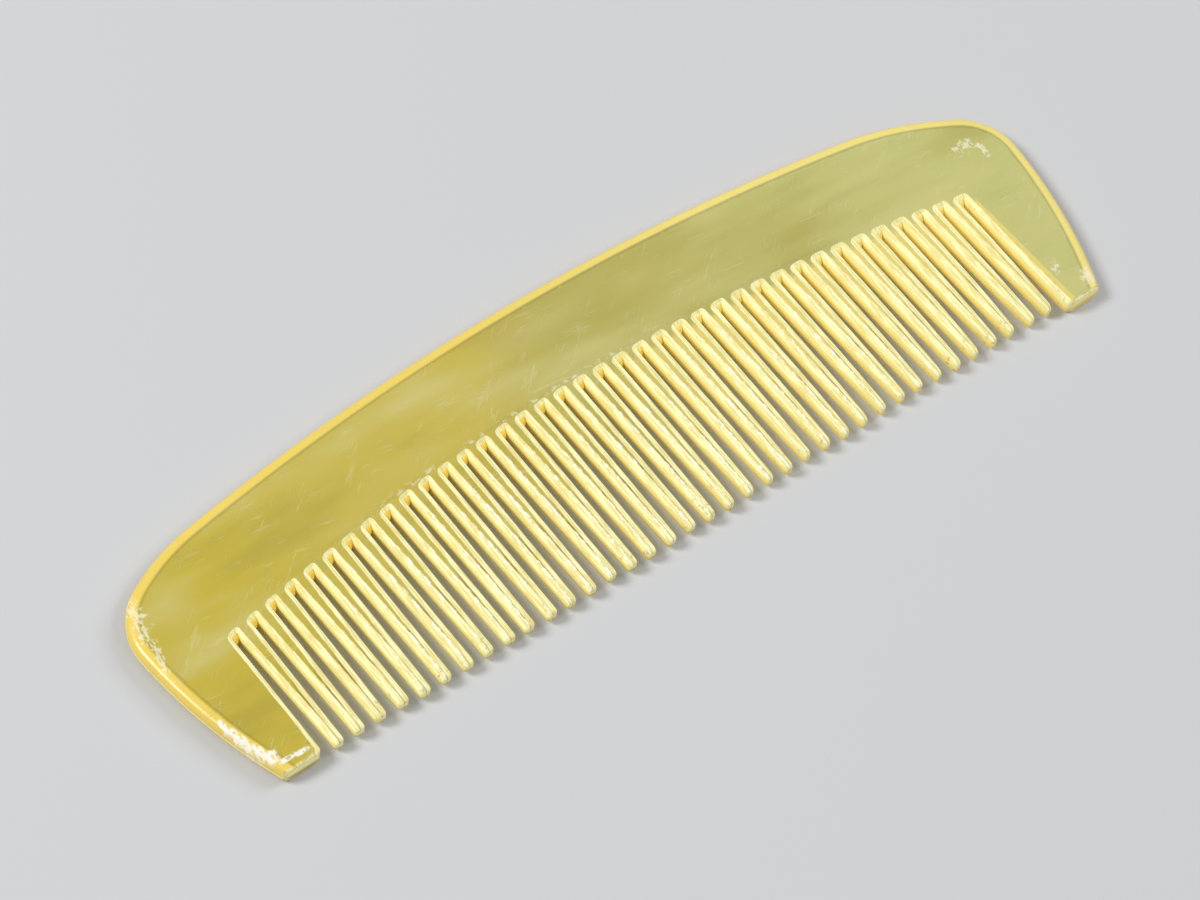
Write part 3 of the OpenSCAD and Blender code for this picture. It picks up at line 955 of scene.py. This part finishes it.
    # Roughness, relief and a painted warm glow, emission that stands in for light passing through thin horn
    rough = wiring.math("MULTIPLY_ADD", cloud, CLOUD_ROUGHNESS, HORN_ROUGHNESS - CLOUD_ROUGHNESS / 2)
    rough = wiring.math("MULTIPLY_ADD", wiring.most(filed, chalk, foot_highlight), WORN_AND_HIGHLIGHT_ROUGHNESS, rough)
    rough = wiring.math("MULTIPLY_ADD", scratch, SCRATCH_ROUGHNESS, rough)
    relief = wiring.times(stroke, filed)
    relief = wiring.math("SUBTRACT", relief, wiring.times(scratch, SCRATCH_RELIEF))
    relief = wiring.math("ADD", relief, wiring.times(speck, SPECK_RELIEF))
    worn = wiring.times(wiring.most(chalk, foot_highlight, sparkle), speck, WORN_AND_HIGHLIGHT_RELIEF)
    relief = wiring.math("ADD", relief, worn)
    normal = wiring.put("ShaderNodeBump", {"Distance": RELIEF_HEIGHT, "Height": relief})
    glow = wiring.blend(filed, DARK, FILED_GLOW)
    glow = wiring.blend(sawn, glow, WALL_GLOW)
    glow = wiring.blend(wiring.times(sawn, amber_end), glow, END_GLOW)

    shader = material.node_tree.nodes["Principled BSDF"]
    shader.inputs["IOR"].default_value = HORN_BENDING
    shader.inputs["Emission Strength"].default_value = 1.0
    links = {"Base Color": colour, "Roughness": rough, "Normal": normal, "Emission Color": glow}
    for slot, value in links.items():
        material.node_tree.links.new(value, shader.inputs[slot])
    return material


comb = build_comb()
comb.data.materials.append(horn_material())
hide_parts("comb")
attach(comb, "root")

# Camera, fitted to the slot ends, tips and outline in the photograph
CAMERA_TURN = math.radians(-47.135)
CAMERA_RISE = math.radians(58.597)
CAMERA_ROLL = math.radians(11.583)
CAMERA_DISTANCE = 370.2
CAMERA_LENS = 102.0
CAMERA_NEAR = 0.01
AIM_X = -4.113
AIM_PAST_TIPS = 14.465
AIM_BELOW_FACE = 3.4
CAMERA_AIM = Vector((AIM_X, AIM_PAST_TIPS + TIPS_Y, 2 * MID - AIM_BELOW_FACE))

# Floor, sky and lights: the place and size of each light in metres, and its power in watts
FLOOR_HALF = 1.5
FLOOR_COLOUR = (0.6, 0.6, 0.6, 1)
FLOOR_ROUGHNESS = 0.9
SKY_COLOUR = (0.9, 0.93, 1.0, 1)
SKY_STRENGTH = 0.38
LIGHTS = {"key_light": ((-0.64, 0.38, 0.77), 0.35, 7.5),
          "fill_light": ((0.75, -0.15, 0.65), 0.5, 3.6),
          "small_light": ((0.2, -0.6, 0.77), 0.15, 0.5)}


def add_camera():
    """Camera that looks at the aim from its distance, turned about Z, raised and rolled."""
    back = Vector((math.sin(CAMERA_TURN) * math.cos(CAMERA_RISE),
                   -math.cos(CAMERA_TURN) * math.cos(CAMERA_RISE), math.sin(CAMERA_RISE)))
    level = Vector((math.cos(CAMERA_TURN), math.sin(CAMERA_TURN), 0))
    above = back.cross(level)
    right = math.cos(CAMERA_ROLL) * level + math.sin(CAMERA_ROLL) * above
    up = math.cos(CAMERA_ROLL) * above - math.sin(CAMERA_ROLL) * level
    lens = bpy.data.cameras.new("camera")
    lens.lens = CAMERA_LENS
    lens.clip_start = CAMERA_NEAR
    camera = bpy.data.objects.new("camera", lens)
    turn = Matrix((right, up, back)).transposed().to_4x4()
    camera.matrix_world = Matrix.Translation((CAMERA_AIM + CAMERA_DISTANCE * back) * MM) @ turn
    bpy.context.scene.collection.objects.link(camera)
    bpy.context.scene.camera = camera


def add_floor():
    """Plain pale floor at the height that the comb rests on."""
    half = FLOOR_HALF
    mesh = bpy.data.meshes.new("floor")
    corners = [(-half, -half, 0), (half, -half, 0), (half, half, 0), (-half, half, 0)]
    mesh.from_pydata(corners, [], [(0, 1, 2, 3)])
    floor = bpy.data.objects.new("floor", mesh)
    bpy.context.scene.collection.objects.link(floor)
    paint = bpy.data.materials.new("pale_floor")
    paint.use_nodes = True
    shader = paint.node_tree.nodes["Principled BSDF"]
    shader.inputs["Base Color"].default_value = FLOOR_COLOUR
    shader.inputs["Roughness"].default_value = FLOOR_ROUGHNESS
    mesh.materials.append(paint)


def add_light(name, place, size, power):
    """Square soft light that shines at the comb from a place in metres."""
    lamp = bpy.data.lights.new(name, "AREA")
    lamp.energy = power
    lamp.size = size
    light = bpy.data.objects.new(name, lamp)
    light.location = place
    light.rotation_euler = Vector(place).to_track_quat("Z", "Y").to_euler()
    bpy.context.scene.collection.objects.link(light)


def add_sky():
    """Even pale light from all around."""
    sky = bpy.data.worlds.new("soft_room")
    sky.use_nodes = True
    background = sky.node_tree.nodes["Background"]
    background.inputs["Color"].default_value = SKY_COLOUR
    background.inputs["Strength"].default_value = SKY_STRENGTH
    bpy.context.scene.world = sky


add_camera()
add_floor()
for light_name, (light_place, light_size, light_power) in LIGHTS.items():
    add_light(light_name, light_place, light_size, light_power)
add_sky()
bpy.context.scene.view_settings.view_transform = "Standard"
